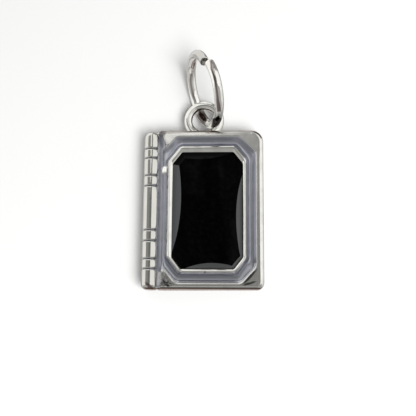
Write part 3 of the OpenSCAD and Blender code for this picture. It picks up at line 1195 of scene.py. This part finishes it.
def make_card():
    card = Finish("white_card")
    colour = card.blend(card.clouds(3.0, 3.0), DARK_GRAIN, LIGHT_GRAIN)
    finish = card.surface(base_color=colour, roughness=0.9)
    sheet = bmesh.new()
    bmesh.ops.create_grid(sheet, x_segments=2, y_segments=2, size=CARD_HALF_SIZE)
    mesh = bpy.data.meshes.new("white_card")
    sheet.to_mesh(mesh)
    sheet.free()
    mesh.materials.append(finish)
    floor = bpy.data.objects.new("white_card", mesh)
    bpy.context.scene.collection.objects.link(floor)
    return floor


floor = make_card()
print("card:", [round(d, 2) for d in floor.dimensions], "m")

# %% [markdown]
# ## The light
# Polished silver shows the room more than itself, so its light and the card's light are
# set apart. One large soft lamp at the lower right lights the card and the stone, and
# its size makes the shadows as soft as in the photo. A set of real soft boxes could
# light the silver too, but each of them would move the shadows. So the lamp and the card
# are kept out of reflections, and the silver mirrors a painted sky alone.


# %% Hang the lamp
def soft_box(name, azimuth, tilt, width, height, radiance, distance):
    """A lamp that faces the charm. Azimuth runs from +X towards +Y, tilt from overhead."""
    lamp = bpy.data.lights.new(name, "AREA")
    lamp.shape = "RECTANGLE"
    lamp.size, lamp.size_y = width * MM, height * MM
    lamp.energy = radiance * math.pi * lamp.size * lamp.size_y
    az, ti = math.radians(azimuth), math.radians(tilt)
    towards = Vector((math.cos(az) * math.sin(ti), math.sin(az) * math.sin(ti), math.cos(ti)))
    box = bpy.data.objects.new(name, lamp)
    box.location = (LOOK_AT + towards * distance) * MM
    box.rotation_euler = towards.to_track_quat("Z", "Y").to_euler()
    bpy.context.scene.collection.objects.link(box)
    return box


key = soft_box("key", azimuth=-48, tilt=29, width=124, height=124, radiance=27, distance=260)
for thing in (key, floor):
    thing.visible_glossy = False
print("lamps:", len(bpy.data.lights))

# %% [markdown]
# ## The sky
# The photo has soft light on every side and a dark camera overhead, which the flat parts
# and the stone mirror. A picture of a studio could be wrapped round the scene, but bright
# sheets with soft edges can be named and moved one by one. They stand above the dim grey
# of the room. Below the horizon the sky stands for the lit card, at the left and the
# right, and for the warm shade in front of the foot.


# %% Set the bright sheets
def bright_sheets(sky, x, y, z):
    """The brightest sheet in every direction, where x, y and z point at the sky."""
    uneven = y - 0.35 * sky.ease(x, -0.04, 0.02) + 0.08 * sky.ease(x, -0.3, -0.4)
    right = sky.within((x, 0.15, 0.21), (x, 0.995, 0.95), (y, -0.3, -0.1), (y, 0.8, 0.6))
    right = right * sky.ease(z, -0.3, 0.0)
    far_right = 0.8 * sky.within((x, 0.68, 0.8), (y, -0.7, -0.5), (z, -0.6, -0.3))
    left = sky.within((x, -0.74, -0.84), (y, -0.35, -0.1), (z, -0.8, -0.35))
    high = 0.95 * sky.within((x, 0.0, -0.04), (x, -0.36, -0.26), (y, 0.2, 0.25), (z, 0.2, 0.5))
    head = sky.within((uneven, 0.38, 0.5), (x, 0.35, 0.15), (z, -0.9, -0.6))
    head_left = 0.7 * sky.within((x, -0.3, -0.42), (y, 0.3, 0.38), (z, -0.2, 0.1))
    return right.most(far_right).most(left).most(high).most(head).most(head_left)


# %% Paint the sky
COOL_LIGHT, WARM_SHADE = (1, 1, 0.97, 1), (1, 0.7, 0.6, 1)
LEFT_CARD, RIGHT_CARD = 0.6, 0.38


def paint_sky():
    world = bpy.data.worlds.new("studio")
    bpy.context.scene.world = world
    world.use_nodes = True
    sky = Graph(world.node_tree)
    x, y, z = sky.apart(sky.node("ShaderNodeTexCoord", out="Generated"))

    room = 0.19 + 0.05 * sky.ease(y, 0.2, 0.45) + 0.1 * sky.ease(x, -0.2, -0.4)
    room = room + 0.19 * sky.ease(y, -0.15, -0.4) + 0.14 * sky.ease(z, 0.0, -0.2)
    room = room * (1.0 - 0.55 * sky.ease(z, -0.15, -0.55))

    right = sky.within((x, 0.3, 0.5), (z, -0.3, -0.5))
    left = sky.within((x, -0.15, -0.35), (z, -0.3, -0.5))
    left = left * (0.5 + 0.5 * sky.ease(abs(y), 0.04, 0.12))
    card_light = (LEFT_CARD * left).most(RIGHT_CARD * right)
    straight_below = 0.5 * sky.ease(z, -0.88, -0.96)
    foot = sky.within((y, 0.0, -0.12), (z, -0.3, -0.55)) * (1.0 - left.most(right))

    brightness = room.most(bright_sheets(sky, x, y, z)).most(card_light) + straight_below
    brightness = brightness * (1.0 - 0.5 * foot)
    colour = sky.blend(foot, COOL_LIGHT, WARM_SHADE)
    shader = sky.node("ShaderNodeBackground", None, {"Color": colour, "Strength": brightness})
    sky.node("ShaderNodeOutputWorld", None, {"Surface": shader})
    return world


sky = paint_sky()
bpy.context.scene.view_settings.view_transform = "Standard"
print("sky:", len(sky.node_tree.nodes), "nodes")

# %% [markdown]
